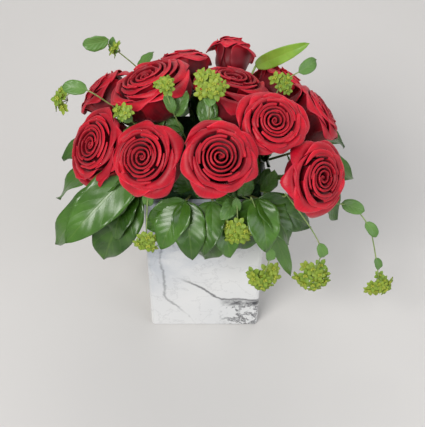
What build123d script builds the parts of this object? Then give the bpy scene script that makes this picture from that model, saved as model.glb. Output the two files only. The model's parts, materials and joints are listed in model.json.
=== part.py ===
from build123d import *
from math import cos, radians, sin
import os

# Flower box: a square glazed vase with a block of floral foam, which holds a dome of a
# dozen roses, a collar of salal leaves and sprigs of bupleurum. Millimetres; the origin is
# the centre of the vase's underside, +Z up, and the front of the arrangement is at -Y.

os.makedirs("parts", exist_ok=True)

# ---------------------------------------------------------------- driving sizes, mm
vase_width = 127.0
vase_height = 225.0
vase_wall = 6.0
vase_floor = 8.0
vase_corner = 5.0
vase_foot_edge = 2.5
rim_edge = 2.0

foam_clearance = 1.0
foam_rise = 12.0
foam_corner = 9.0
foam_chamfer = 6.0

# The stems all point at one focus on the vase's axis, a little below the rim. The reaches
# and points of the layout below are for a vase of layout_width, and spread with its width.
focus_depth = 33.0
layout_width = 127.0
stem_gap = 24.0
rose_stem_diameter = 5.5
stem_hole_clearance = 0.05
hole_end_gap = 1.0

bloom_diameter = 67.0
bloom_depth = 46.0
bloom_foot_diameter = 14.0
bloom_dish = 5.0
hip_length = 11.0
hip_diameter = 13.0
sepal_count = 5
sepal_thickness = 0.9
sepal_reach = 19.0
sepal_width = 11.0

leaf_thickness = 1.0
salal_stem_diameter = 3.0
salal_stem_depth = 40.0
sprig_stem_diameter = 2.0
sprig_node_diameter = 2.6
sprig_stem_depth = 34.0
sprig_leaf_thickness = 0.8
sprig_leaf_share = 0.6
cluster_height_share = 0.45

# ---------------------------------------------------------------- places of the pieces
# Rose: compass angle from the front towards +X, elevation, reach of the face from the
# focus, size against a common bloom.
roses = [
    (-80, 32, 146, 1.00),
    (-42, 49, 142, 1.00),
    (9, 55, 158, 1.02),
    (64, 57, 157, 0.98),
    (61, 29, 160, 0.97),
    (-108, 63, 145, 1.12),
    (135, 69, 126, 1.12),
    (96, 36, 155, 0.96),
    (131, 31, 143, 0.95),
    (-117, 31, 154, 0.92),
    (-164, 43, 138, 0.95),
    (166, 32, 158, 0.93),
]

# Salal sprig: name, compass angle, elevation and reach of its stem's end, then its
# leaves: tip (x, y, z above the rim), width, rise of the arch, facing.
salal_sprigs = [
    ("front_left", -58, 39, 106, [((-141, -100, -23), 34, 3, (-0.2, -0.7, 0.7))]),
    ("left_corner", -55, 27, 100, [
        ((-166, -60, -67), 40, 10, (-0.5, -0.5, 0.7)),
        ((-104, -92, -62), 46, 8, (-0.3, -0.9, 0.4)),
    ]),
    ("front_left_low", -15, 32, 90, [((-60, -86, -14), 30, 3, (0, -0.9, 0.5))]),
    ("front_middle", 6, 32, 86, [((1, -93, -59), 42, 7, (0, -1, 0.3))]),
    ("right_corner", 36, 29, 102, [
        ((32, -92, -42), 36, 5, (-0.2, -1, 0.4)),
        ((112, -70, -27), 32, 4, (0.3, -0.8, 0.6)),
        ((100, -84, -101), 16, 4, (0.2, -1, 0.2)),
    ]),
    ("right_side", 80, 32, 106, [
        ((162, -10, -19), 38, 4, (0.5, -0.2, 0.8)),
        ((146, -40, -55), 34, 5, (0.7, -0.4, 0.5)),
    ]),
    ("left_side", -99, 32, 92, [
        ((-158, 24, -21), 36, 4, (-0.4, 0, 1)),
        ((-164, -14, -53), 36, 3, (-0.6, -0.2, 0.7)),
    ]),
    ("back_left", -140, 31, 106, [
        ((-126, 122, -23), 42, 8, (-0.4, 0.4, 0.8)),
        ((-82, 132, -53), 42, 8, (-0.3, 0.7, 0.5)),
    ]),
    ("back_middle", -174, 33, 96, [((-28, 128, -59), 42, 5, (0, 0.9, 0.4))]),
    ("back_right", 149, 31, 98, [
        ((92, 134, -37), 38, 5, (0.4, 0.4, 0.8)),
        ((52, 128, -57), 40, 6, (0.1, 0.9, 0.4)),
    ]),
    ("right_back", 113, 32, 98, [((160, 48, -29), 38, 5, (0.6, 0.2, 0.8))]),
]

# One long narrow leaf that stands up at the back, given as a salal sprig is.
long_leaf = (145, 45, 133, [((102, 44, 117), 17, 6, (-0.2, -0.8, 0.6))])

# Bupleurum sprig: name, compass angle, elevation and reach of its straight stem, the
# points that the stem passes after that, its leaves as (point number, facing, length) and
# its flower clusters as (point number, facing, diameter). Point 0 is the straight stem's end.
bupleurum_sprigs = [
    ("top_left", -130, 48, 145, [(-92, 62, 95), (-104, 60, 109)],
     [(1, (-0.6, -0.6, 0.5), 18), (2, (0, -1, 0.2), 26)], [(1, (-1, 0, 0.4), 14)]),
    ("left", -96, 46, 140, [(-124, 14, 85), (-148, 25, 61)],
     [(1, (0, -0.6, 0.8), 24)], [(2, (-0.7, -0.4, 0.6), 24)]),
    ("between_left", -72, 55, 138, [(-78, -32, 95)],
     [(0, (0, -0.5, 0.8), 18)], [(1, (-0.3, -0.5, 0.8), 14)]),
    ("middle_left", -52, 72, 135, [(-40, -18, 120)],
     [(0, (0.4, -0.6, 0.6), 18)], [(1, (0, -0.3, 1), 18)]),
    ("middle", 10, 80, 138, [(4, -16, 119)],
     [(0, (0, -0.4, 0.9), 24)], [(1, (0, -0.6, 0.8), 28)]),
    ("between_right", 90, 59, 130, [(77, 11, 97), (96, 16, 109)],
     [(2, (0.3, -0.6, 0.8), 22)], [(1, (0, -0.5, 0.8), 17)]),
    ("front_left", -40, 31, 104, [(-60, -100, -19)],
     [(0, (0, -1, 0.4), 16)], [(1, (0, -1, 0.3), 18)]),
    ("front", 22, 32, 98, [(33, -100, -4)],
     [(0, (0, -1, 0.5), 14)], [(1, (0, -1, 0.4), 26)]),
    ("front_right", 31, 30, 106, [(66, -98, -35), (63, -92, -89)],
     [(1, (0.3, -1, 0.3), 16)], [(2, (0, -1, 0.4), 32)]),
    ("right", 49, 25, 122, [(120, -86, -43), (118, -80, -101)],
     [(1, (0.3, -1, 0.4), 18)], [(2, (0, -1, 0.4), 38)]),
]

# A second branch of one sprig, from the end of its straight stem: points, leaves, clusters.
branched_sprig = "right"
long_branch = (
    [(105, -61, -7), (148, -50, -19), (172, -62, -38), (187, -70, -88), (195, -75, -127)],
    [(1, (0, -0.6, 0.8), 28), (2, (0.2, -0.6, 0.8), 16), (3, (0.3, -0.8, 0.5), 14)],
    [(4, (0.2, -1, 0.4), 26)],
)

# ---------------------------------------------------------------- derived places
rim_height = vase_height
spread = vase_width / layout_width
focus = Vector(0, 0, rim_height - focus_depth * spread)
cavity_width = vase_width - 2 * vase_wall
foam_width = cavity_width - 2 * foam_clearance
foam_top = rim_height + foam_rise


def ray_direction(compass, elevation):
    """Unit vector of a stem: compass angle from the front (-Y) towards +X, and elevation."""
    turn, rise = radians(compass), radians(elevation)
    return Vector(sin(turn) * cos(rise), -cos(turn) * cos(rise), sin(rise))


def layout_point(x, y, z):
    """Point of the layout: z is above the rim, and all of it spreads with the vase's width."""
    return Vector(x * spread, y * spread, rim_height + z * spread)


def stem_plane(direction, distance):
    """Plane square to a stem, at a distance from the focus; its normal points outwards."""
    across = Vector(0, 0, 1).cross(direction)
    return Plane(origin=focus + direction * distance, x_dir=across, z_dir=direction)


def side_plane(plane):
    """Plane through a piece's axis: local x runs across the axis, local y along it."""
    return Plane(origin=plane.origin, x_dir=plane.x_dir, z_dir=plane.y_dir * -1)


# ---------------------------------------------------------------- vase and foam
def make_vase():
    with BuildPart() as vase:
        with BuildSketch(Plane.XY):
            RectangleRounded(vase_width, vase_width, vase_corner)
        extrude(amount=vase_height)
        fillet(vase.edges().group_by(Axis.Z)[0], vase_foot_edge)
        with BuildSketch(Plane.XY.offset(vase_floor)):
            RectangleRounded(cavity_width, cavity_width, vase_corner)
        extrude(amount=vase_height - vase_floor, mode=Mode.SUBTRACT)
        fillet(vase.edges().group_by(Axis.Z)[-1], rim_edge)
    return vase.part


def make_foam(holes):
    """Foam block with a blind hole for each stem: (direction, diameter, depth from the focus)."""
    with BuildPart() as foam:
        with BuildSketch(Plane.XY.offset(vase_floor)):
            RectangleRounded(foam_width, foam_width, foam_corner)
        extrude(amount=foam_top - vase_floor)
        chamfer(foam.edges().group_by(Axis.Z)[-1], foam_chamfer)
        for direction, diameter, start in holes:
            with BuildSketch(stem_plane(direction, start - hole_end_gap)):
                Circle(diameter / 2 + stem_hole_clearance)
            extrude(amount=2 * foam_width, mode=Mode.SUBTRACT)
    return foam.part


# ---------------------------------------------------------------- roses
def bloom_start(reach, size):
    return reach - bloom_depth * size


def make_stem(direction, diameter, start, end):
    with BuildPart() as stem:
        with BuildSketch(stem_plane(direction, start)):
            Circle(diameter / 2)
        extrude(amount=end - start)
    return stem.part


def make_bloom(direction, reach, size):
    """Open rose: a cup on a narrow foot, widest above its middle, with a dished face."""
    plane = stem_plane(direction, bloom_start(reach, size))
    foot = bloom_foot_diameter / 2
    widest = bloom_diameter / 2 * size
    lip = 0.66 * widest
    depth = bloom_depth * size
    with BuildPart() as bloom:
        with BuildSketch(side_plane(plane)):
            with BuildLine():
                Line((0, 0), (foot, 0))
                ThreePointArc((foot, 0), (0.86 * widest, 0.30 * depth), (widest, 0.62 * depth))
                ThreePointArc((widest, 0.62 * depth), (0.92 * widest, 0.86 * depth), (lip, depth))
                Line((lip, depth), (0, depth - bloom_dish))
                Line((0, depth - bloom_dish), (0, 0))
            make_face()
        revolve(axis=Axis(plane.origin, direction))
    return bloom.part


def make_calyx(direction, reach, size):
    """Rose hip on the stem's end with five sepals that lie back under the bloom."""
    plane = stem_plane(direction, bloom_start(reach, size) - hip_length)
    stem_radius = rose_stem_diameter / 2
    neck_radius = 0.42 * hip_diameter
    with BuildPart() as calyx:
        with BuildSketch(plane.offset(hip_length - sepal_thickness)):
            with PolarLocations(0, sepal_count):
                with Locations((sepal_reach / 2, 0)):
                    Ellipse(sepal_reach / 2, sepal_width / 2)
        extrude(amount=sepal_thickness)
        with BuildSketch(side_plane(plane)):
            with BuildLine():
                Line((0, 0), (stem_radius, 0))
                Spline((stem_radius, 0), (hip_diameter / 2, 0.55 * hip_length), (neck_radius, hip_length))
                Line((neck_radius, hip_length), (0, hip_length))
                Line((0, hip_length), (0, 0))
            make_face()
        revolve(axis=Axis(plane.origin, direction))
    return calyx.part


# ---------------------------------------------------------------- greens
def make_leaf(base, tip, facing, width, arch):
    """Pointed oval leaf from base to tip, arched towards the side it faces."""
    chord = tip - base
    length = chord.length
    along = chord.normalized()
    normal = (facing - along * facing.dot(along)).normalized()
    flat = Plane(origin=base, x_dir=along, z_dir=normal)
    crown = arch - leaf_thickness
    with BuildPart() as leaf:
        with BuildSketch(flat):
            with BuildLine():
                ThreePointArc((0, 0), (0.45 * length, width / 2), (length, 0))
                ThreePointArc((length, 0), (0.45 * length, -width / 2), (0, 0))
            make_face()
        extrude(amount=arch + 2 * leaf_thickness, both=True)
        with BuildSketch(side_plane(flat)):
            with BuildLine():
                ThreePointArc((0, 0), (length / 2, arch), (length, 0))
                Line((length, 0), (length, -leaf_thickness))
                ThreePointArc((length, -leaf_thickness), (length / 2, crown), (0, -leaf_thickness))
                Line((0, -leaf_thickness), (0, 0))
            make_face()
        extrude(amount=width, both=True, mode=Mode.INTERSECT)
    return leaf.part


def make_salal(compass, elevation, reach, leaves):
    direction = ray_direction(compass, elevation)
    base = focus + direction * (reach - salal_stem_diameter / 2)
    with BuildPart() as sprig:
        add(make_stem(direction, salal_stem_diameter, salal_stem_depth, reach))
        for tip, width, arch, facing in leaves:
            add(make_leaf(base, layout_point(*tip), Vector(*facing), width, arch))
    return sprig.part


def make_blade(centre, facing, along, length, width):
    """Small flat oval leaf that a sprig's stem grows through, a third of the way along it."""
    normal = facing.normalized()
    flat = Plane(origin=centre, x_dir=along - normal * along.dot(normal), z_dir=normal)
    with BuildPart() as blade:
        with BuildSketch(flat):
            with Locations((length / 6, 0)):
                Ellipse(length / 2, width / 2)
        extrude(amount=sprig_leaf_thickness / 2, both=True)
    return blade.part


def make_cluster(centre, facing, diameter):
    """Outer shape of a head of small green flowers: a low cone on a shallow cup."""
    height = diameter * cluster_height_share
    plane = Plane(origin=centre, z_dir=facing)
    with BuildPart() as cluster:
        with BuildSketch(side_plane(plane)):
            with BuildLine():
                Polyline(
                    (0, -height / 2),
                    (0.2 * diameter, -height / 2),
                    (diameter / 2, 0),
                    (0.3 * diameter, height / 2),
                    (0, height / 2),
                    close=True,
                )
            make_face()
        revolve(axis=Axis(plane.origin, plane.z_dir))
    return cluster.part


def make_run(route, blades, clusters):
    """Thin stem along a route, with leaves and flower clusters. The route's second point is point 0."""
    with BuildPart() as run:
        for here, there in zip(route, route[1:]):
            step = there - here
            with BuildSketch(Plane(origin=here, z_dir=step)):
                Circle(sprig_stem_diameter / 2)
            extrude(amount=step.length)
        for joint in route[1:-1]:
            with Locations(joint):
                Sphere(sprig_node_diameter / 2)
        for number, facing, length in blades:
            along = route[number + 1] - route[number]
            add(make_blade(route[number + 1], Vector(*facing), along, length, sprig_leaf_share * length))
        for number, facing, diameter in clusters:
            add(make_cluster(route[number + 1], Vector(*facing), diameter))
    return run.part


def make_bupleurum(name, compass, elevation, reach, points, blades, clusters):
    direction = ray_direction(compass, elevation)
    end = focus + direction * reach
    route = [focus + direction * sprig_stem_depth, end] + [layout_point(*point) for point in points]
    with BuildPart() as sprig:
        add(make_run(route, blades, clusters))
        if name == branched_sprig:
            branch_route = [end] + [layout_point(*point) for point in long_branch[0]]
            add(make_run(branch_route, *long_branch[1:]))
    return sprig.part


# ---------------------------------------------------------------- assembly
def write(part, name):
    part.label = name
    export_step(part, "parts/" + name + ".step")


holes = []

for number, (compass, elevation, layout_reach, size) in enumerate(roses, start=1):
    direction = ray_direction(compass, elevation)
    reach = layout_reach * spread
    hip_start = bloom_start(reach, size) - hip_length
    name = f"rose_{number:02d}"
    holes.append((direction, rose_stem_diameter, stem_gap))
    write(make_stem(direction, rose_stem_diameter, stem_gap, hip_start), name + "_stem")
    write(make_calyx(direction, reach, size), name + "_calyx")
    write(make_bloom(direction, reach, size), name + "_bloom")

for name, compass, elevation, reach, leaves in salal_sprigs:
    holes.append((ray_direction(compass, elevation), salal_stem_diameter, salal_stem_depth))
    write(make_salal(compass, elevation, reach * spread, leaves), "salal_" + name)

holes.append((ray_direction(*long_leaf[:2]), salal_stem_diameter, salal_stem_depth))
write(make_salal(*long_leaf[:2], long_leaf[2] * spread, long_leaf[3]), "long_leaf")

for name, compass, elevation, reach, points, blades, clusters in bupleurum_sprigs:
    holes.append((ray_direction(compass, elevation), sprig_stem_diameter, sprig_stem_depth))
    sprig = make_bupleurum(name, compass, elevation, reach * spread, points, blades, clusters)
    write(sprig, "bupleurum_" + name)

write(make_foam(holes), "floral_foam")
write(make_vase(), "vase")
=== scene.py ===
import json
import math

import bpy
import numpy as np
from mathutils import Matrix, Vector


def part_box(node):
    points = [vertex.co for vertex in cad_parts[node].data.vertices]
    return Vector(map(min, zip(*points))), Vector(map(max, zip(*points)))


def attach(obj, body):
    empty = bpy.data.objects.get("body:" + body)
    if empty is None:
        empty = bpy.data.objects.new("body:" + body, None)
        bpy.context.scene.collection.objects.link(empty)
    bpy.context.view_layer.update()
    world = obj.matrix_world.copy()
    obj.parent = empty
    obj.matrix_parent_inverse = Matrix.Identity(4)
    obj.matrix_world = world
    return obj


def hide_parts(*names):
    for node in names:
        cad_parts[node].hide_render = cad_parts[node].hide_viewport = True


# Looks of the flower box: a dozen open roses, salal leaves and bupleurum around a foam
# block in a marbled vase. Everything is in metres, in the CAD model's frame.

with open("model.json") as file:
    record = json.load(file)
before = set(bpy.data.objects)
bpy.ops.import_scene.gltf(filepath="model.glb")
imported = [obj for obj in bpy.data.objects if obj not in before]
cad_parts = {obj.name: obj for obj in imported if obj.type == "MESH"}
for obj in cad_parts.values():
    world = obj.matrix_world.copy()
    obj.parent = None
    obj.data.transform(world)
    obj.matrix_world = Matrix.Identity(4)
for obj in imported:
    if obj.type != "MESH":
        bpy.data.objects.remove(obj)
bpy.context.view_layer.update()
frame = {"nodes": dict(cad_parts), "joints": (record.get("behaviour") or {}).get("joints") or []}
MM = 0.001

# All the stems point at one focus on the vase's axis, a little below its rim.
RIM_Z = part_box("vase")[1][2]
FOCUS_DEPTH = 33 * MM
FOCUS = np.array([0, 0, RIM_Z - FOCUS_DEPTH])


# ---------------------------------------------------------------- small geometry helpers
def unit(vector):
    vector = np.asarray(vector, float)
    return vector / np.linalg.norm(vector)


def ray_direction(compass, elevation):
    """Direction of a stem: compass angle from the front towards +X, and elevation."""
    turn, rise = math.radians(compass), math.radians(elevation)
    flat = math.cos(rise)
    return np.array([math.sin(turn) * flat, -math.cos(turn) * flat, math.sin(rise)])


def axes_along(direction, hint=(0, 0, 1)):
    """3x3 matrix whose columns are across, sideways and the direction itself."""
    z = unit(direction)
    x = np.cross(hint, z)
    if np.linalg.norm(x) < 1e-6:
        x = np.cross((0, 1, 0), z)
    x = unit(x)
    return np.stack([x, np.cross(z, x), z], axis=1)


def curve_through(points, share):
    """Points of a smooth Catmull-Rom curve through the given points, at shares 0 to 1."""
    points = np.asarray(points, float)
    padded = np.vstack([2 * points[0] - points[1], points, 2 * points[-1] - points[-2]])
    place = np.clip(np.asarray(share, float), 0, 1) * (len(points) - 1)
    first = np.minimum(place.astype(int), len(points) - 2)
    t = (place - first)[..., None]
    a, b, c, d = (padded[first + i] for i in range(4))
    square = (2 * a - 5 * b + 4 * c - d) * t**2
    cube = (3 * b - a - 3 * c + d) * t**3
    return 0.5 * (2 * b + (c - a) * t + square + cube)


def smooth(low, high, value):
    """Smooth step from 0 at low to 1 at high."""
    t = np.clip((np.asarray(value, float) - low) / (high - low), 0, 1)
    return t * t * (3 - 2 * t)


class Shape:
    """Collects vertices, faces and per-vertex values, and turns them into one mesh piece."""

    def __init__(self):
        self.points, self.faces, self.uv, self.tone, self.slots = [], [], [], [], []
        self.count = 0

    def add(self, points, faces, uv, tone, slot=0):
        points = np.asarray(points, float).reshape(-1, 3)
        self.points.append(points)
        self.faces += [tuple(int(i) + self.count for i in face) for face in faces]
        self.slots += [slot] * len(faces)
        self.uv.append(np.asarray(uv, float).reshape(-1, 2))
        self.tone.append(np.full(len(points), tone, float))
        self.count += len(points)

    def piece(self, name, materials, body, slot, nodes=()):
        mesh = bpy.data.meshes.new(name)
        mesh.from_pydata(np.concatenate(self.points).tolist(), [], self.faces)
        for material in materials:
            mesh.materials.append(material)
        mesh.polygons.foreach_set("material_index", self.slots)
        mesh.polygons.foreach_set("use_smooth", [True] * len(self.faces))
        loops = np.zeros(len(mesh.loops), int)
        mesh.loops.foreach_get("vertex_index", loops)
        layer = mesh.uv_layers.new(name="grid")
        layer.data.foreach_set("uv", np.concatenate(self.uv)[loops].ravel())
        tone = mesh.attributes.new("tone", "FLOAT", "POINT")
        tone.data.foreach_set("value", np.concatenate(self.tone).astype(np.float32))
        mesh.update()
        piece = bpy.data.objects.new(name, mesh)
        bpy.context.scene.collection.objects.link(piece)
        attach(piece, body)
        if nodes:
            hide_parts(*nodes)
        return piece


def add_sheet(shape, grid, thickness, tone, slot=0):
    """Closed thin sheet: a grid of points, its back at a thickness, and the edge between."""
    rows, cols = grid.shape[:2]
    along = np.gradient(grid, axis=0)
    across = np.gradient(grid, axis=1)
    normal = np.cross(across, along)
    size = np.linalg.norm(normal, axis=2, keepdims=True)
    normal = normal / np.maximum(size, 1e-12)
    back = grid - normal * thickness
    points = np.concatenate([grid.reshape(-1, 3), back.reshape(-1, 3)])
    v, u = np.meshgrid(np.linspace(0, 1, rows), np.linspace(0, 1, cols), indexing="ij")
    uv = np.tile(np.stack([u.ravel(), v.ravel()], 1), (2, 1))
    index = np.arange(rows * cols).reshape(rows, cols)
    other = index + rows * cols
    faces = []
    for i in range(rows - 1):
        for j in range(cols - 1):
            faces.append((index[i, j], index[i, j + 1], index[i + 1, j + 1], index[i + 1, j]))
            faces.append((other[i, j], other[i + 1, j], other[i + 1, j + 1], other[i, j + 1]))
    rim = [*index[0, :], *index[1:, -1], *index[-1, -2::-1], *index[-2:0:-1, 0]]
    for a, b in zip(rim, rim[1:] + rim[:1]):
        faces.append((b, a, a + rows * cols, b + rows * cols))
    shape.add(points, faces, uv, tone, slot)


def add_tube(shape, path, radii, tone, slot=0, sides=8):
    """Closed round tube along a list of points, with a radius at each."""
    path = np.asarray(path, float)
    radii = np.broadcast_to(radii, len(path))
    ahead = np.gradient(path, axis=0)
    turn = np.linspace(0, 2 * math.pi, sides, endpoint=False)
    across = axes_along(ahead[0])[:, 0]
    rings = []
    for point, direction, radius in zip(path, ahead, radii):
        direction = unit(direction)
        across = unit(across - direction * (across @ direction))
        side = np.cross(direction, across)
        ring = np.outer(np.cos(turn), across) + np.outer(np.sin(turn), side)
        rings.append(point + radius * ring)
    points = np.concatenate(rings)
    faces = []
    for i in range(len(path) - 1):
        for j in range(sides):
            k = (j + 1) % sides
            faces.append((i * sides + j, i * sides + k, (i + 1) * sides + k, (i + 1) * sides + j))
    faces.append(tuple(range(sides - 1, -1, -1)))
    faces.append(tuple(range((len(path) - 1) * sides, len(path) * sides)))
    v = np.repeat(np.linspace(0, 1, len(path)), sides)
    u = np.tile(np.linspace(0, 1, sides), len(path))
    shape.add(points, faces, np.stack([u, v], 1), tone, slot)


def add_ball(shape, centre, radius, tone, slot=0):
    """Small rounded bead with a few rings, for buds and drops."""
    rings, sides = 5, 8
    polar = np.linspace(0, math.pi, rings + 2)[1:-1]
    around = np.linspace(0, 2 * math.pi, sides, endpoint=False)
    body = [
        (math.sin(p) * math.cos(a), math.sin(p) * math.sin(a), math.cos(p))
        for p in polar
        for a in around
    ]
    local = np.array([*body, (0, 0, 1), (0, 0, -1)]) * radius
    faces = []
    for i in range(rings - 1):
        for j in range(sides):
            k = (j + 1) % sides
            faces.append((i * sides + j, (i + 1) * sides + j, (i + 1) * sides + k, i * sides + k))
    top, bottom, last = rings * sides, rings * sides + 1, (rings - 1) * sides
    for j in range(sides):
        k = (j + 1) % sides
        faces.append((top, j, k))
        faces.append((bottom, last + k, last + j))
    shape.add(local + centre, faces, np.zeros((len(local), 2)), tone, slot)


# ---------------------------------------------------------------- materials
class Nodes:
    """A material's node tree with short ways to add and join nodes."""

    def __init__(self, name):
        self.material = bpy.data.materials.new(name)
        self.material.use_nodes = True
        self.tree = self.material.node_tree
        self.shader = self.tree.nodes["Principled BSDF"]

    def new(self, kind, **values):
        node = self.tree.nodes.new(kind)
        for key, value in values.items():
            if key in node.inputs:
                node.inputs[key].default_value = value
            else:
                setattr(node, key, value)
        return node

    def join(self, source, target):
        self.tree.links.new(source, target)

    def maths(self, operation, first, second=None, clamp=False):
        node = self.new("ShaderNodeMath", operation=operation, use_clamp=clamp)
        for socket, value in zip(node.inputs, (first, second)):
            if value is None:
                continue
            if isinstance(value, (int, float)):
                socket.default_value = value
            else:
                self.join(value, socket)
        return node.outputs[0]

    def times(self, first, second):
        return self.maths("MULTIPLY", first, second)

    def plus(self, first, second):
        return self.maths("ADD", first, second)

    def minus(self, first, second):
        return self.maths("SUBTRACT", first, second)

    def most(self, first, second, clamp=False):
        return self.maths("MAXIMUM", first, second, clamp)

    def absolute(self, value):
        return self.maths("ABSOLUTE", value)

    def mix(self, share, first, second):
        node = self.new("ShaderNodeMix", data_type="RGBA")
        sockets = (node.inputs[0], node.inputs[6], node.inputs[7])
        for socket, value in zip(sockets, (share, first, second)):
            if isinstance(value, (int, float)):
                socket.default_value = value
            elif isinstance(value, tuple):
                socket.default_value = (*value, 1)
            else:
                self.join(value, socket)
        return node.outputs[2]

    def ramp(self, share, *stops):
        node = self.new("ShaderNodeMapRange", interpolation_type="SMOOTHSTEP")
        self.join(share, node.inputs["Value"])
        names = ("From Min", "From Max", "To Min", "To Max")
        for name, value in zip(names, stops):
            node.inputs[name].default_value = value
        return node.outputs["Result"]

    def noise(self, where, scale, detail=3.0, rough=0.5, colour=False):
        node = self.new("ShaderNodeTexNoise", Scale=scale, Detail=detail, Roughness=rough)
        self.join(where, node.inputs["Vector"])
        return node.outputs["Color" if colour else "Fac"]

    def place(self):
        return self.new("ShaderNodeTexCoord").outputs["Object"]

    def grid(self):
        node = self.new("ShaderNodeUVMap", uv_map="grid")
        split = self.new("ShaderNodeSeparateXYZ")
        self.join(node.outputs[0], split.inputs[0])
        return node.outputs[0], split.outputs[0], split.outputs[1]

    def tone(self):
        return self.new("ShaderNodeAttribute", attribute_name="tone").outputs["Fac"]

    def stretch(self, where, scale):
        node = self.new("ShaderNodeMapping", Scale=scale)
        self.join(where, node.inputs["Vector"])
        return node.outputs[0]

    def bump(self, height, strength, distance):
        node = self.new("ShaderNodeBump", Strength=strength, Distance=distance)
        self.join(height, node.inputs["Height"])
        self.join(node.outputs[0], self.shader.inputs["Normal"])

    def finish(self, colour, roughness, **fixed):
        if isinstance(colour, tuple):
            self.shader.inputs["Base Color"].default_value = (*colour, 1)
        else:
            self.join(colour, self.shader.inputs["Base Color"])
        if isinstance(roughness, (int, float)):
            self.shader.inputs["Roughness"].default_value = roughness
        else:
            self.join(roughness, self.shader.inputs["Roughness"])
        for key, value in fixed.items():
            self.shader.inputs[key.replace("_", " ")].default_value = value
        return self.material


def petal_material():
    """Velvety red: painted shade dark at the petal's foot, bright towards the rim with a painted
    highlight at the very edge, fine veins along it.
    """
    n = Nodes("rose_petal")
    uv, _, v = n.grid()
    tone = n.tone()
    veins = n.noise(n.stretch(uv, (46, 3.2, 1)), 1.0, 3.0)
    cloud = n.noise(n.place(), 55.0, 3.0)
    painted_shade_red, bright, rim = (0.085, 0.0010, 0.004), (0.78, 0.0055, 0.026), (0.93, 0.045, 0.095)
    # Painted shade: the red darkens towards the petal's foot, deep inside the bloom.
    body = n.mix(n.ramp(v, 0.45, 0.97, 0, 1), painted_shade_red, bright)
    body = n.mix(n.ramp(cloud, 0.35, 0.75, 0, 0.5), body, (0.30, 0.002, 0.012))
    body = n.mix(n.times(n.ramp(veins, 0.45, 0.7, 0, 1), 0.35), body, (0.27, 0.001, 0.009))
    # Painted highlight: paler pink along the petal's edge.
    body = n.mix(n.ramp(v, 0.93, 1.0, 0, 0.55), body, rim)
    body = n.mix(n.times(tone, 0.8), body, (0.22, 0.001, 0.012))
    n.bump(n.plus(n.times(veins, 0.7), n.times(cloud, 0.5)), 0.35, 0.0009)
    rough = n.ramp(cloud, 0.3, 0.8, 0.42, 0.56)
    return n.finish(
        body,
        rough,
        Sheen_Weight=0.25,
        Sheen_Roughness=0.4,
        Sheen_Tint=(1.0, 0.35, 0.4, 1),
        Specular_IOR_Level=0.35,
    )


def leaf_material(name, dark, light, vein, side_veins, gloss, slope):
    """Waxy leaf: paler midrib and side veins, blotchy green, gloss broken by fine dimples."""
    n = Nodes(name)
    _, u, v = n.grid()
    tone = n.tone()
    where = n.place()
    off_centre = n.absolute(n.minus(u, 0.5))
    midrib = n.ramp(off_centre, 0.012, 0.045, 1, 0)
    wobble = n.times(n.noise(where, 70.0, 2.0), 0.06)
    run = n.plus(n.minus(v, n.times(off_centre, slope)), wobble)
    repeat = n.maths("FRACT", n.times(run, side_veins))
    wave = n.absolute(n.minus(repeat, 0.5))
    side = n.ramp(wave, 0.455, 0.495, 0, 0.7)
    lines = n.most(midrib, side)
    blotch = n.noise(where, 38.0, 4.0)
    fine = n.noise(where, 420.0, 2.0)
    colour = n.mix(n.ramp(blotch, 0.32, 0.72, 0, 1), dark, light)
    lightest = tuple(min(1.0, c * 1.9 + 0.01) for c in light)
    colour = n.mix(n.times(tone, 0.75), colour, lightest)
    colour = n.mix(n.times(lines, 0.20), colour, vein)
    quilt = n.ramp(wave, 0.0, 0.5, 1, 0)
    height = n.minus(n.plus(quilt, n.times(fine, 0.25)), lines)
    n.bump(height, 0.28, 0.0008)
    rough = n.ramp(blotch, 0.3, 0.75, gloss, gloss + 0.16)
    return n.finish(colour, rough, Coat_Weight=0.25, Coat_Roughness=0.25, Specular_IOR_Level=0.5)


def stem_material(name, dark, light):
    n = Nodes(name)
    where = n.place()
    streak = n.noise(n.stretch(where, (260, 260, 30)), 1.0, 3.0)
    speck = n.noise(where, 900.0, 2.0)
    colour = n.mix(n.ramp(streak, 0.3, 0.72, 0, 1), dark, light)
    colour = n.mix(n.ramp(n.noise(where, 30.0), 0.5, 0.75, 0, 0.45), colour, (0.20, 0.16, 0.05))
    n.bump(n.plus(streak, n.times(speck, 0.4)), 0.4, 0.0005)
    return n.finish(colour, n.ramp(streak, 0.3, 0.7, 0.42, 0.6))


def flower_material():
    n = Nodes("bupleurum_flower")
    _, _, v = n.grid()
    where = n.place()
    speck = n.noise(where, 480.0, 3.0)
    colour = n.mix(v, (0.085, 0.170, 0.008), (0.24, 0.38, 0.035))
    colour = n.mix(n.times(n.tone(), 0.8), colour, (0.52, 0.56, 0.06))
    colour = n.mix(n.ramp(speck, 0.5, 0.72, 0, 0.4), colour, (0.17, 0.28, 0.02))
    n.bump(speck, 0.4, 0.0004)
    return n.finish(colour, n.ramp(speck, 0.3, 0.7, 0.45, 0.6))


def foam_material():
    n = Nodes("wet_foam")
    where = n.place()
    cells = n.new("ShaderNodeTexVoronoi", Scale=900.0)
    n.join(where, cells.inputs["Vector"])
    fine = n.noise(where, 1500.0, 2.0)
    cloud = n.noise(where, 40.0, 3.0)
    colour = n.mix(n.ramp(cloud, 0.3, 0.7, 0, 1), (0.012, 0.050, 0.014), (0.030, 0.095, 0.025))
    colour = n.mix(n.ramp(cells.outputs["Distance"], 0.0, 0.5, 0.5, 0), colour, (0.006, 0.022, 0.007))
    n.bump(n.plus(cells.outputs["Distance"], n.times(fine, 0.5)), 0.7, 0.0006)
    return n.finish(colour, 0.85)


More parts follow.
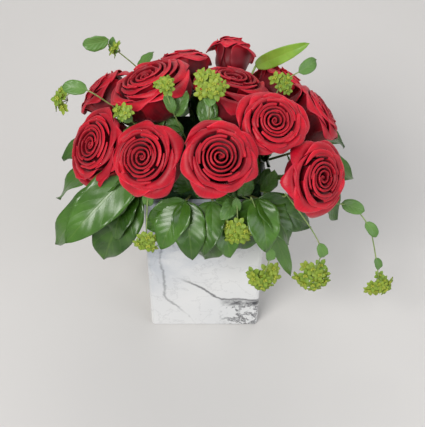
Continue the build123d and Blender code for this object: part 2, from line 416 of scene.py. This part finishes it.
def marble_material():
    """White glaze with painted blue-grey shade at the upper left, mottled like marble, two thin veins
    and a charcoal patch.
    """
    n = Nodes("marbled_glaze")
    where = n.place()
    warp = n.noise(where, 14.0, 5.0, 0.6, colour=True)
    centred = n.new("ShaderNodeVectorMath", operation="SUBTRACT")
    n.join(warp, centred.inputs[0])
    centred.inputs[1].default_value = (0.5, 0.5, 0.5)
    scaled = n.new("ShaderNodeVectorMath", operation="SCALE", Scale=0.030)
    n.join(centred.outputs[0], scaled.inputs[0])
    shifted = n.new("ShaderNodeVectorMath", operation="ADD")
    n.join(where, shifted.inputs[0])
    n.join(scaled.outputs[0], shifted.inputs[1])
    bent = shifted.outputs[0]
    split = n.new("ShaderNodeSeparateXYZ")
    n.join(bent, split.inputs[0])
    x, y, z = split.outputs

    def slanted(ax, ay, az, offset):
        """Signed distance from a plane that a vein follows through the whole body."""
        total = n.plus(n.times(x, ax), n.times(y, ay))
        total = n.plus(total, n.times(z, az))
        return n.plus(total, offset)

    def vein(distance, width, strength):
        return n.ramp(n.absolute(distance), 0.0, width, strength, 0)

    broad = n.noise(where, 9.0, 4.0)
    middle = n.noise(bent, 26.0, 5.0, 0.62)
    thread = n.noise(bent, 48.0, 4.0, 0.7)
    # Painted shade: blue-grey darkening at the upper left, where the flowers shade the vase, mottled by
    # the marble noise.
    painted_shade_upper_left = n.ramp(slanted(-0.55, 0.0, 0.80, 0.0), 0.045, 0.165, 0, 1)
    colour = n.mix(n.ramp(broad, 0.35, 0.75, 0, 0.35), (0.82, 0.82, 0.81), (0.66, 0.68, 0.71))
    cloud = n.times(painted_shade_upper_left, n.ramp(middle, 0.3, 0.62, 0.25, 0.85))
    colour = n.mix(cloud, colour, (0.34, 0.39, 0.47))

    # Thin grey vein down the left side that bends to the right near the foot.
    bend = n.times(n.most(n.minus(0.062, z), 0.0), 0.55)
    left = vein(n.plus(n.minus(x, bend), 0.046), 0.0026, 0.5)
    left = n.times(left, n.ramp(middle, 0.36, 0.60, 0.1, 1))
    # Dark vein that falls from the middle to the right, then runs level as a wide patch.
    slope = n.times(n.most(n.minus(0.022, x), 0.0), 0.85)
    fall = n.minus(n.minus(z, slope), 0.054)
    band = vein(fall, 0.0036, 0.85)
    band = n.times(band, n.ramp(x, -0.034, -0.012, 0, 1))
    lower = n.times(n.ramp(x, 0.016, 0.034, 0, 1), n.ramp(fall, -0.004, 0.003, 1, 0))
    net = n.ramp(n.absolute(n.minus(thread, 0.5)), 0.0, 0.055, 1, 0)
    patch = n.ramp(middle, 0.42, 0.55, 0.25, 1.0)
    dark_edge = n.ramp(n.absolute(n.plus(fall, 0.007)), 0.002, 0.011, 1, 0)
    front = n.ramp(n.plus(y, n.times(middle, 0.04)), -0.030, 0.012, 1, 0)
    lower = n.times(lower, front)
    band = n.times(band, n.ramp(y, -0.02, 0.03, 1, 0.25))
    # The dark network under it stays near the front.
    network = n.times(lower, n.most(n.times(net, 0.85), n.times(patch, dark_edge)))
    hair_noise = n.noise(bent, 17.0, 6.0, 0.65)
    hair = n.ramp(n.absolute(n.minus(hair_noise, 0.5)), 0.0, 0.016, 0.13, 0)
    marks = n.most(n.most(left, band), n.most(network, hair), clamp=True)
    colour = n.mix(marks, colour, (0.045, 0.047, 0.055))
    ripple = n.noise(where, 60.0, 2.0)
    n.bump(ripple, 0.10, 0.0010)
    rough = n.ramp(n.noise(where, 90.0), 0.3, 0.7, 0.16, 0.26)
    return n.finish(colour, rough, Coat_Weight=0.5, Coat_Roughness=0.08)


def drop_material():
    n = Nodes("water_drop")
    return n.finish((0.95, 0.97, 1.0), 0.03, Transmission_Weight=1.0, IOR=1.33)


def floor_material():
    n = Nodes("plain_floor")
    where = n.place()
    colour = n.mix(n.noise(where, 3.0), (0.60, 0.585, 0.57), (0.64, 0.625, 0.61))
    return n.finish(colour, 0.75)


PETAL = petal_material()
SALAL = leaf_material(
    "salal_leaf", (0.022, 0.068, 0.006), (0.055, 0.150, 0.010), (0.17, 0.28, 0.05), 7.0, 0.26, 0.55
)
LONG_LEAF = leaf_material(
    "long_leaf", (0.13, 0.27, 0.025), (0.24, 0.42, 0.05), (0.40, 0.55, 0.12), 3.0, 0.34, 0.2
)
SMALL_LEAF = leaf_material(
    "bupleurum_leaf", (0.060, 0.150, 0.022), (0.105, 0.230, 0.040), (0.25, 0.38, 0.10), 5.0, 0.40, 0.8
)
ROSE_GREEN = stem_material("rose_stem", (0.035, 0.085, 0.012), (0.085, 0.165, 0.030))
WOODY = stem_material("salal_stem", (0.075, 0.075, 0.020), (0.17, 0.20, 0.055))
PALE_STEM = stem_material("bupleurum_stem", (0.16, 0.25, 0.060), (0.30, 0.40, 0.13))
FLOWER = flower_material()
DROP = drop_material()


# ---------------------------------------------------------------- roses
PETALS = 28
PETAL_ROWS, PETAL_COLS = 15, 19
GOLDEN = math.radians(137.5)
STEM_RADIUS = 2.7 * MM
FOAM_EXIT = 62 * MM  # where the thorns may start, from the focus


def petal_grid(rng, share, turn, radius, depth):
    """One petal in the bloom's own frame. share is 0 at the heart and 1 outside."""
    v = np.linspace(0, 1, PETAL_ROWS)[:, None]
    s = np.linspace(-1, 1, PETAL_COLS)[None, :]
    opened = smooth(0.15, 1.0, share)
    curl_out = MM * (0.8 + 3.0 * share + 8.0 * opened**2) * rng.uniform(0.75, 1.25)
    curl_down = MM * (0.2 + 1.2 * share + 8.5 * opened**3) * rng.uniform(0.6, 1.3)
    rim = radius * (0.035 + 0.965 * share**0.92) - curl_out * (0.25 + 0.75 * share)
    rim = max(rim, 1.1 * MM)
    height = depth * (0.955 + 0.045 * math.sin(math.pi * min(1, share * 1.6)) - 0.20 * share**3)
    height *= rng.uniform(0.955, 1.02)
    foot = MM * (2.0 + 3.5 * share)
    foot_z = depth * 0.10 * (1 - share)
    belly = rim * (0.80 + 0.12 * share) + MM * 4.5 * (1 - share) ** 2
    line = [
        (foot, foot_z),
        (belly, foot_z + 0.36 * (height - foot_z)),
        (rim * 0.97 + MM * 1.0 * (1 - share), foot_z + 0.78 * (height - foot_z)),
        (rim + 0.10 * curl_out, height),
        (rim + 0.62 * curl_out, height - 0.10 * curl_down),
        (rim + 1.0 * curl_out, height - curl_down),
    ]
    # The edge is highest in the middle, with a small point, and falls away at the sides.
    fall = 0.14 + 0.26 * opened
    point = 0.11 * opened * rng.uniform(0.3, 1.0)
    edge = 1 - fall * np.abs(s) ** 2.0 + point * (np.exp(-((s / 0.20) ** 2)) - 1)
    wave = rng.uniform(0.3, 1.0) * np.sin(s * rng.uniform(3.5, 6.5) + rng.uniform(0, 6.3))
    wave += rng.uniform(0.2, 0.6) * np.sin(s * rng.uniform(8, 12) + rng.uniform(0, 6.3))
    place = np.clip(v * edge, 0, 1)
    profile = curve_through(line, place)
    r, z = profile[..., 0], profile[..., 1]
    # One side tucks under its neighbour; the sides roll back as the petal opens.
    tuck = MM * (1.5 - 0.3 * share)
    r = r + tuck * s * smooth(0.2, 0.7, v) + MM * 0.75 * wave * (0.35 + 0.65 * share) * v**4
    side = np.clip(np.abs(s) - 0.62, 0, 1) ** 1.5 * 3.2
    side_roll = MM * 4.6 * opened * side * smooth(0.45, 1.0, v)
    r = r + side_roll
    tilt = rng.uniform(-2.4, 2.4)
    z = z + MM * 0.9 * wave * v**5 * (0.3 + share) + MM * tilt * s * v**2 * (0.3 + share)
    half = math.radians(118 - 66 * smooth(0.0, 0.55, share)) * rng.uniform(0.92, 1.1)
    spread = half * (0.55 + 0.45 * smooth(0.0, 0.55, v))
    angle = turn + s * spread
    r = np.maximum(r, 0.25 * MM)
    lean = MM * rng.uniform(-2.2, 2.2) * (0.4 + 0.6 * share)
    return np.stack([r * np.cos(angle) + lean * v, r * np.sin(angle), z + 0 * s], axis=2)


def make_bloom(number, axis, origin, radius, depth, nod, spin, seed):
    """All petals of one rose. nod is added to the stem's direction to turn the face."""
    rng = np.random.default_rng(seed)
    shape = Shape()
    turn = spin
    for k in range(PETALS):
        share = k / (PETALS - 1)
        turn += GOLDEN + rng.uniform(-0.16, 0.16)
        grid = petal_grid(rng, share, turn, radius, depth)
        if number in WET and share > 0.5:
            for _ in range(3):
                row = rng.integers(7, PETAL_ROWS - 1)
                spot = grid[row, rng.integers(4, PETAL_COLS - 4)]
                add_ball(shape, spot, MM * rng.uniform(0.5, 0.95), 0, 1)
        tone = rng.uniform(0, 0.7) * (0.45 + 0.55 * share)
        add_sheet(shape, grid, MM * (0.35 + 0.25 * share), tone)
    # Heart: a closed little twist of petals that fills the middle.
    for k in range(3):
        grid = petal_grid(rng, 0.0, spin + 2.1 * k, radius * 0.6, depth * 0.985)
        grid[..., :2] *= 0.62
        add_sheet(shape, grid, MM * 0.35, 0.5)
    basis = axes_along(axis)
    face = unit(axis + np.array(nod))
    about = np.cross(axis, face)
    angle = math.asin(min(1.0, np.linalg.norm(about)))
    swing = np.array(Matrix.Rotation(angle, 3, about.tolist())) if angle > 1e-6 else np.eye(3)
    pivot = origin + axis * 0.30 * depth
    for i, points in enumerate(shape.points):
        placed = points @ basis.T + origin
        turned = (placed - pivot) @ swing.T + pivot
        shape.points[i] = placed + (turned - placed) * smooth(0.0, 0.40, points[:, 2:3] / depth)
    name = f"rose_{number:02d}"
    shape.piece(name + "_petals", [PETAL, DROP], name, "rose_petal", [name + "_bloom"])


def make_rose_green(number, axis, stem_start, hip_start, bloom_start, seed):
    """Stem with thorns, hip and five reflexed sepals."""
    rng = np.random.default_rng(seed)
    shape = Shape()
    basis = axes_along(axis)
    share = np.linspace(0, 1, 14)
    path = [FOCUS + axis * (stem_start + (hip_start - stem_start) * t) for t in share]
    add_tube(shape, path, STEM_RADIUS, 0.2, sides=12)
    hip = [(0.0, 2.6), (0.25, 4.2), (0.55, 6.4), (0.85, 6.0), (1.0, 4.8)]
    length = bloom_start - hip_start
    hip_path = [FOCUS + axis * (hip_start + length * t) for t, _ in hip]
    add_tube(shape, hip_path, [r * MM for _, r in hip], 0.4, sides=14)
    for k in range(5):
        turn = 2 * math.pi * k / 5 + rng.uniform(-0.2, 0.2)
        out = math.cos(turn) * basis[:, 0] + math.sin(turn) * basis[:, 1]
        side = np.cross(axis, out)
        start = FOCUS + axis * (bloom_start - 1.5 * MM) + out * 4.0 * MM
        droop = rng.uniform(-0.5, 0.15)
        v = np.linspace(0, 1, 9)[:, None, None]
        s = np.linspace(-1, 1, 5)[None, :, None]
        reach = MM * 19 * v
        width = MM * 3.6 * (1 - v) ** 0.7 * (0.6 + 0.8 * v)
        rise = MM * (4.0 * v + 22 * droop * v**2)
        grid = start + out * reach + axis * (rise + MM * 1.2 * s**2) + side * width * s
        add_sheet(shape, grid, 0.5 * MM, rng.uniform(0.3, 0.8))
    for distance in np.arange(FOAM_EXIT + 8 * MM, hip_start - 6 * MM, 11 * MM):
        turn = rng.uniform(0, 2 * math.pi)
        out = math.cos(turn) * basis[:, 0] + math.sin(turn) * basis[:, 1]
        root = FOCUS + axis * distance + out * STEM_RADIUS * 0.7
        tip = root + out * 3.2 * MM - axis * 1.4 * MM
        add_tube(shape, [root, (root + tip) / 2, tip], [1.4 * MM, 0.7 * MM, 0.1 * MM], 0.8, sides=6)
    name = f"rose_{number:02d}"
    shape.piece(name + "_green", [ROSE_GREEN], name, "rose_stem", [name + "_stem", name + "_calyx"])


# How each bloom's face turns from its stem: a world direction added to the stem's own.
NODS = [
    (0.15, -0.15, 0.10), (0, 0, 0), (0, 0, 0), (-0.30, -0.25, 0.05),
    (-0.15, -0.15, 0.10), (0, 0.15, 0.10), (-0.05, 0.10, 0), (0.10, 0.20, 0),
    (0, 0.25, -0.1), (0, 0.2, 0), (0, 0.2, 0), (0, 0, 0),
]
# How wide each opened bloom is beside the CAD model's solid one, before the petals' own edge.
FULLNESS = [1.30, 1.20, 1.14, 1.10, 1.26, 1.28, 1.22, 1.18, 1.12, 1.14, 1.02, 0.86]
PETAL_EDGE = 2 * MM
# The roses with drops of water on their outer petals.
WET = (1, 2, 7)


def node_points(node):
    return np.array([vertex.co for vertex in frame["nodes"][node].data.vertices])


def build_roses():
    pulls = {joint["child"]: joint for joint in frame["joints"]}
    for number, (nod, fullness) in enumerate(zip(NODS, FULLNESS), start=1):
        name = f"rose_{number:02d}"
        axis = unit(pulls[name]["axis"])
        stem = (node_points(name + "_stem") - FOCUS) @ axis
        bloom = node_points(name + "_bloom") - FOCUS
        along = bloom @ axis
        foot, face = along.min(), along.max()
        off_axis = bloom - np.outer(along, axis)
        radius = fullness * np.linalg.norm(off_axis, axis=1).max() + PETAL_EDGE
        origin = FOCUS + axis * foot
        make_bloom(number, axis, origin, radius, face - foot, nod, number * 0.9, 100 + number)
        make_rose_green(number, axis, stem.min(), stem.max(), foot, 200 + number)


# ---------------------------------------------------------------- leaves and sprigs
def add_leaf(shape, rng, base, tip, facing, width, arch, tone, fold=0.22, fine=True, blunt=0.0):
    """Leaf from base to tip, folded along its midrib, quilted between its side veins."""
    base, tip = np.asarray(base, float), np.asarray(tip, float)
    along = tip - base
    length = np.linalg.norm(along)
    along = along / length
    normal = unit(np.asarray(facing, float) - along * (np.asarray(facing, float) @ along))
    side = np.cross(normal, along)
    rows, cols = (23, 13) if fine else (11, 7)
    v = np.linspace(0, 1, rows)[:, None]
    s = np.linspace(-1, 1, cols)[None, :]
    outline = v**0.52 * (1 - v) ** (0.80 - 0.35 * blunt)
    outline = outline / outline.max() + 0.010
    ripple = 0.05 * np.sin(v * rng.uniform(14, 20) + rng.uniform(0, 6)) * np.abs(s) ** 3
    half = width / 2 * outline
    lift = arch * 4 * v * (1 - v) + fold * half * np.abs(s) ** 1.3
    lift = lift + width * ripple * smooth(0, 0.2, v) - length * 0.05 * smooth(0.75, 1.0, v)
    lift = lift + width * 0.10 * rng.uniform(-1, 1) * s * v
    if fine:
        quilt = np.cos(2 * math.pi * 9.0 * (v - 0.275 * np.abs(s)))
        lift = lift + 0.16 * MM * quilt * smooth(0.05, 0.2, np.abs(s)) * smooth(0.02, 0.15, 1 - v)
    grid = base + along * (length * v)[..., None] + side * (half * s)[..., None]
    grid = grid + normal * lift[..., None]
    grid = grid + side * (length * 0.04 * rng.uniform(-1, 1) * v * v)[..., None]
    add_sheet(shape, grid, 0.45 * MM if fine else 0.35 * MM, tone)


# Salal sprig: compass angle, elevation and reach of the stem's end as in the CAD model,
# then leaves: tip in mm, width, arch, facing, tone.
SALAL_SPRIGS = {
    "front_left": (-58, 39, 106, [((-141, -100, 202), 44, 5, (-0.2, -0.7, 0.7), 0.35)]),
    "left_corner": (-55, 27, 100, [
        ((-166, -60, 158), 44, 10, (-0.5, -0.5, 0.7), 0.25),
        ((-104, -92, 163), 50, 8, (-0.3, -0.9, 0.4), 0.0),
    ]),
    "front_left_low": (-15, 32, 90, [((-60, -86, 211), 32, 3, (0, -0.9, 0.5), 0.15)]),
    "front_middle": (6, 32, 86, [((1, -93, 166), 46, 7, (0, -1, 0.3), 0.0)]),
    "right_corner": (36, 29, 102, [
        ((32, -92, 183), 40, 5, (-0.2, -1, 0.4), 0.1),
        ((112, -70, 198), 34, 4, (0.3, -0.8, 0.6), 0.0),
        ((100, -84, 124), 18, 4, (0.2, -1, 0.2), 0.45),
    ]),
    "right_side": (80, 32, 106, [
        ((162, -10, 206), 42, 4, (0.5, -0.2, 0.8), 0.15),
        ((146, -40, 170), 38, 5, (0.7, -0.4, 0.5), 0.0),
    ]),
    "left_side": (-99, 32, 92, [
        ((-158, 24, 204), 40, 4, (-0.4, 0, 1), 0.0),
        ((-164, -14, 172), 40, 3, (-0.6, -0.2, 0.7), 0.3),
    ]),
    "back_left": (-140, 31, 106, [
        ((-126, 122, 202), 44, 8, (-0.4, 0.4, 0.8), 0.1),
        ((-82, 132, 172), 46, 8, (-0.3, 0.7, 0.5), 0.0),
    ]),
    "back_middle": (-174, 33, 96, [((-28, 128, 166), 46, 5, (0, 0.9, 0.4), 0.1)]),
    "back_right": (149, 31, 98, [
        ((92, 134, 188), 42, 5, (0.4, 0.4, 0.8), 0.0),
        ((52, 128, 168), 44, 6, (0.1, 0.9, 0.4), 0.2),
    ]),
    "right_back": (113, 32, 98, [((160, 48, 196), 42, 5, (0.6, 0.2, 0.8), 0.05)]),
}


def build_salal():
    for order, (name, (compass, elevation, reach, leaves)) in enumerate(SALAL_SPRIGS.items()):
        rng = np.random.default_rng(300 + order)
        shape = Shape()
        direction = ray_direction(compass, elevation)
        end = FOCUS + direction * reach * MM
        path = [FOCUS + direction * d * MM for d in np.linspace(40, reach, 8)]
        add_tube(shape, path, np.linspace(1.5, 1.2, len(path)) * MM, 0.3, slot=1)
        for tip, width, arch, facing, tone in leaves:
            add_leaf(shape, rng, end, np.array(tip) * MM, facing, width * MM, arch * MM, tone)
        for turned, drop in ((22, 44), (-20, 36)):
            outward = ray_direction(compass + turned, 0)
            leaf_tip = end + (outward * 42 - np.array([0, 0, drop])) * MM
            tone = rng.uniform(0, 0.3)
            add_leaf(shape, rng, end, leaf_tip, outward + (0, 0, 0.7), 34 * MM, 5 * MM, tone)
        for turned, rise, stretch in ((-14, 24, 1.04), (16, 30, 1.0)):
            lift = min(elevation + rise, 78)
            root = FOCUS + direction * 0.72 * reach * MM
            leaf_tip = FOCUS + ray_direction(compass + turned, lift) * reach * stretch * MM
            add_leaf(shape, rng, root, leaf_tip, direction + (0, -0.4, 0.9), 30 * MM, 4 * MM, 0.0)
        node = "salal_" + name
        shape.piece(node + "_leaves", [SALAL, WOODY], "insert", "salal_leaf", [node])


LONG_LEAF_PLACE = (145, 45, 133, (102, 44, 342), 17, 6, (-0.2, -0.8, 0.6))


def build_long_leaf():
    compass, elevation, reach, tip, width, arch, facing = LONG_LEAF_PLACE
    rng = np.random.default_rng(350)
    shape = Shape()
    direction = ray_direction(compass, elevation)
    path = [FOCUS + direction * d * MM for d in np.linspace(40, reach, 8)]
    add_tube(shape, path, 1.3 * MM, 0.3, slot=1)
    tip = np.array(tip) * MM
    add_leaf(shape, rng, path[-1], tip, facing, width * MM, arch * MM, 0.3, fold=0.3, blunt=0.6)
    shape.piece("long_leaf_blade", [LONG_LEAF, PALE_STEM], "insert", "salal_leaf", ["long_leaf"])


def add_star(shape, rng, centre, facing, size, tone):
    """One little flower: five or six pointed green bracts around a tuft of yellow buds."""
    basis = axes_along(facing, hint=(0.3, 0.2, 1))
    bracts = int(rng.integers(5, 7))
    for k in range(bracts):
        turn = 2 * math.pi * k / bracts + rng.uniform(-0.2, 0.2)
        out = math.cos(turn) * basis[:, 0] + math.sin(turn) * basis[:, 1]
        lift = rng.uniform(-0.05, 0.30)
        tip = centre + size * (out + basis[:, 2] * lift)
        facing_up = basis[:, 2] - out * 0.3
        v = np.linspace(0, 1, 5)[:, None, None]
        s = np.linspace(-1, 1, 3)[None, :, None]
        side = unit(np.cross(facing_up, tip - centre))
        half = size * 0.46 * (v**0.6 * (1 - v) ** 0.6 / 0.66 + 0.03)
        arch = size * 0.12 * np.sin(math.pi * v)
        rise = size * 0.08 * s**2 - arch * 0.3
        grid = centre + (tip - centre) * v + side * half * s + basis[:, 2] * rise
        add_sheet(shape, grid, 0.22 * MM, tone, 0)
    for k in range(6):
        turn = 2 * math.pi * k / 6 + rng.uniform(-0.3, 0.3)
        radius = 0 if k == 5 else 0.22 * size
        spot = centre + radius * (math.cos(turn) * basis[:, 0] + math.sin(turn) * basis[:, 1])
        add_ball(shape, spot + basis[:, 2] * size * 0.22, size * 0.11, 0.95, 0)


def add_head(flowers, stems, rng, centre, facing, diameter, count):
    """Umbel: thin rays from one point to a dome of little flowers."""
    basis = axes_along(facing, hint=(0.3, 0.2, 1))
    root = centre - basis[:, 2] * diameter * 0.34
    for k in range(count):
        share = math.sqrt((k + 0.4) / count)
        turn = GOLDEN * k + rng.uniform(-0.25, 0.25)
        out = math.cos(turn) * basis[:, 0] + math.sin(turn) * basis[:, 1]
        dome = 0.16 - 0.20 * share**2
        spot = centre + out * diameter * 0.42 * share + basis[:, 2] * diameter * dome
        spot = spot + MM * (basis[:, 2] * rng.uniform(-3, 3) + out * rng.uniform(-1.5, 2.5))
        add_tube(stems, [root, (root + spot) / 2 + out * MM, spot], 0.35 * MM, 0.4, slot=1, sides=5)
        size = MM * rng.uniform(6.0, 8.8) * (0.75 + diameter / (90 * MM))
        aim = unit(basis[:, 2] + out * 0.75 * share)
        add_star(flowers, rng, spot, aim, size, rng.uniform(0, 0.5))


# Bupleurum sprig: compass angle, elevation, straight reach, then the points it passes (mm),
# leaves (point, facing, length, turn in degrees) and heads (point, facing, diameter, flowers).
BUPLEURUM_SPRIGS = {
    "top_left": (-130, 48, 145, [(-92, 62, 320), (-104, 60, 334)],
                 [(1, (-0.6, -0.6, 0.5), 18, 0), (2, (0, -1, 0.2), 28, 60)], [(1, (-1, 0, 0.4), 14, 4)]),
    "left": (-96, 46, 140, [(-124, 14, 310), (-148, 25, 286)],
             [(1, (0, -0.6, 0.8), 26, 0)], [(2, (-0.7, -0.4, 0.6), 24, 7)]),
    "between_left": (-72, 55, 138, [(-78, -32, 320)],
                     [(0, (0, -0.5, 0.8), 20, 0)], [(1, (-0.3, -0.5, 0.8), 14, 4)]),
    "middle_left": (-52, 72, 135, [(-40, -18, 345)],
                    [(0, (0.4, -0.6, 0.6), 20, 0)], [(1, (0, -0.3, 1), 18, 5)]),
    "middle": (10, 80, 138, [(4, -16, 344)],
               [(0, (0, -0.4, 0.9), 26, 0)], [(1, (0, -0.6, 0.8), 28, 9)]),
    "between_right": (90, 59, 130, [(77, 11, 322), (96, 16, 334)],
                      [(2, (0.3, -0.6, 0.8), 24, 0)], [(1, (0, -0.5, 0.8), 17, 5)]),
    "front_left": (-40, 31, 104, [(-60, -100, 206)],
                   [(0, (0, -1, 0.4), 20, 0)], [(1, (0, -1, 0.3), 20, 6)]),
    "front": (22, 32, 98, [(33, -100, 221)],
              [(0, (0, -1, 0.5), 16, 0)], [(1, (0, -1, 0.4), 26, 9)]),
    "front_right": (31, 30, 106, [(66, -98, 190), (63, -92, 136)],
                    [(1, (0.3, -1, 0.3), 18, 0)], [(2, (0, -1, 0.4), 32, 11)]),
    "right": (49, 25, 122, [(120, -86, 182), (118, -80, 124)],
              [(1, (0.3, -1, 0.4), 20, 0)], [(2, (0, -1, 0.4), 38, 13)]),
}
# The second branch of the right sprig, from the end of its straight stem, in the same form.
LONG_BRANCH = (
    [(105, -61, 218), (148, -50, 206), (172, -62, 187), (187, -70, 137), (195, -75, 98)],
    [(2, (0, -0.6, 0.8), 26, 0), (3, (0.2, -0.6, 0.8), 20, 0), (4, (0.3, -0.8, 0.5), 16, 0)],
    [(5, (0.2, -1, 0.4), 26, 8)],
)


def add_run(greens, flowers, rng, marks, leaves, heads):
    """Leaves and flower heads at the marks of one run of stem."""
    for number, facing, length, turned in leaves:
        facing = unit(facing)
        ahead = marks[min(number + 1, len(marks) - 1)] - marks[max(number - 1, 0)]
        ahead = unit(ahead - facing * (ahead @ facing) + 1e-6)
        swing = math.radians(turned)
        ahead = ahead * math.cos(swing) + np.cross(facing, ahead) * math.sin(swing)
        base = marks[number] - ahead * length * 0.22 * MM
        tip = marks[number] + ahead * length * 0.78 * MM
        add_leaf(greens, rng, base, tip, facing, 0.58 * length * MM, 2 * MM, 0.2, fine=False, blunt=0.7)
    for number, facing, diameter, count in heads:
        add_head(flowers, greens, rng, marks[number], unit(facing), diameter * MM, count + 1)


def build_bupleurum():
    for order, (name, entry) in enumerate(BUPLEURUM_SPRIGS.items()):
        compass, elevation, reach, points, leaves, heads = entry
        rng = np.random.default_rng(400 + order)
        greens, flowers = Shape(), Shape()
        direction = ray_direction(compass, elevation)
        marks = [FOCUS + direction * reach * MM] + [np.array(point) * MM for point in points]
        straight = [FOCUS + direction * d * MM for d in np.linspace(34, reach - 6, 5)]
        route = np.array(straight + marks)
        path = curve_through(route, np.linspace(0, 1, 8 * len(route)))
        add_tube(greens, path, np.linspace(0.95, 0.6, len(path)) * MM, 0.3, slot=1)
        runs = [(marks, leaves, heads)]
        if name == "right":
            branch = [marks[0]] + [np.array(point) * MM for point in LONG_BRANCH[0]]
            runs.append((branch, LONG_BRANCH[1], LONG_BRANCH[2]))
            add_tube(greens, curve_through(branch, np.linspace(0, 1, 40)), 0.7 * MM, 0.3, slot=1)
        for share in rng.uniform(0.62, 0.92, 3):
            spot = FOCUS + direction * reach * share * MM
            out = unit(np.cross(direction, rng.normal(size=3)))
            facing = unit(direction + (0, -0.6, 0.6))
            leaf_tip = spot + (out * 24 + direction * 14) * MM
            add_leaf(greens, rng, spot, leaf_tip, facing, 17 * MM, 2 * MM, 0.1, fine=False, blunt=0.6)
        for marks, leaves, heads in runs:
            add_run(greens, flowers, rng, marks, leaves, heads)
        node = "bupleurum_" + name
        greens.piece(node + "_stems", [SMALL_LEAF, PALE_STEM], "insert", "bupleurum_leaf", [node])
        flowers.piece(node + "_flowers", [FLOWER], "insert", "bupleurum_leaf")


# ---------------------------------------------------------------- carried-over CAD pieces
def dress_cad():
    for node, material in (("vase", marble_material()), ("floral_foam", foam_material())):
        mesh = frame["nodes"][node].data
        mesh.materials.clear()
        mesh.materials.append(material)


# ---------------------------------------------------------------- stage, light and camera
def build_stage():
    mesh = bpy.data.meshes.new("floor")
    size, sweep_start, sweep_radius = 3.0, 1.1, 0.8
    angles = np.linspace(0, math.pi / 2, 12)
    profile = [(-size, 0.0), (sweep_start, 0.0)]
    profile += [
        (sweep_start + sweep_radius * math.sin(a), sweep_radius * (1 - math.cos(a)))
        for a in angles[1:]
    ]
    profile.append((sweep_start + sweep_radius, 2.6))
    points = [(x, y, z) for y, z in profile for x in (-size, size)]
    faces = [(2 * i, 2 * i + 1, 2 * i + 3, 2 * i + 2) for i in range(len(profile) - 1)]
    mesh.from_pydata(points, [], faces)
    mesh.polygons.foreach_set("use_smooth", [True] * len(faces))
    mesh.materials.append(floor_material())
    floor = bpy.data.objects.new("floor", mesh)
    bpy.context.scene.collection.objects.link(floor)


def add_area_light(name, place, target, size, power, colour):
    light = bpy.data.lights.new(name, "AREA")
    light.shape = "RECTANGLE"
    light.size, light.size_y = size
    light.energy = power
    light.color = colour
    lamp = bpy.data.objects.new(name, light)
    basis = axes_along(np.array(place) - np.array(target))
    lamp.matrix_world = Matrix.Translation(place) @ Matrix(basis.tolist()).to_4x4()
    bpy.context.scene.collection.objects.link(lamp)


def build_light_and_camera():
    middle = (0, 0, 0.24)
    add_area_light("key", (-0.9, -1.3, 1.9), middle, (1.1, 0.9), 40, (1.0, 0.985, 0.96))
    add_area_light("fill", (1.5, -0.9, 1.0), middle, (1.4, 1.4), 11, (0.93, 0.96, 1.0))
    add_area_light("back", (0.2, 1.3, 1.7), middle, (1.4, 0.8), 12, (1.0, 0.98, 0.95))
    world = bpy.data.worlds.new("studio")
    world.use_nodes = True
    world.node_tree.nodes["Background"].inputs[0].default_value = (0.82, 0.84, 0.88, 1)
    world.node_tree.nodes["Background"].inputs[1].default_value = 0.42
    bpy.context.scene.world = world

    camera = bpy.data.cameras.new("camera")
    camera.sensor_width = 36
    camera.sensor_fit = "AUTO"
    camera.lens = 79.8
    holder = bpy.data.objects.new("camera", camera)
    place = np.array([-0.0045, -0.6947, 0.9576])
    looking = unit([0.0124, 0.6440, -0.7649])
    right = unit([0.99992, -0.0072, 0.0101])
    up = np.cross(right, looking)
    basis = np.stack([right, up, -looking], axis=1)
    holder.matrix_world = Matrix.Translation(place) @ Matrix(basis.tolist()).to_4x4()
    bpy.context.scene.collection.objects.link(holder)
    bpy.context.scene.camera = holder
    bpy.context.scene.view_settings.view_transform = "Standard"


build_light_and_camera()
build_stage()
dress_cad()
build_roses()
build_salal()
build_long_leaf()
build_bupleurum()
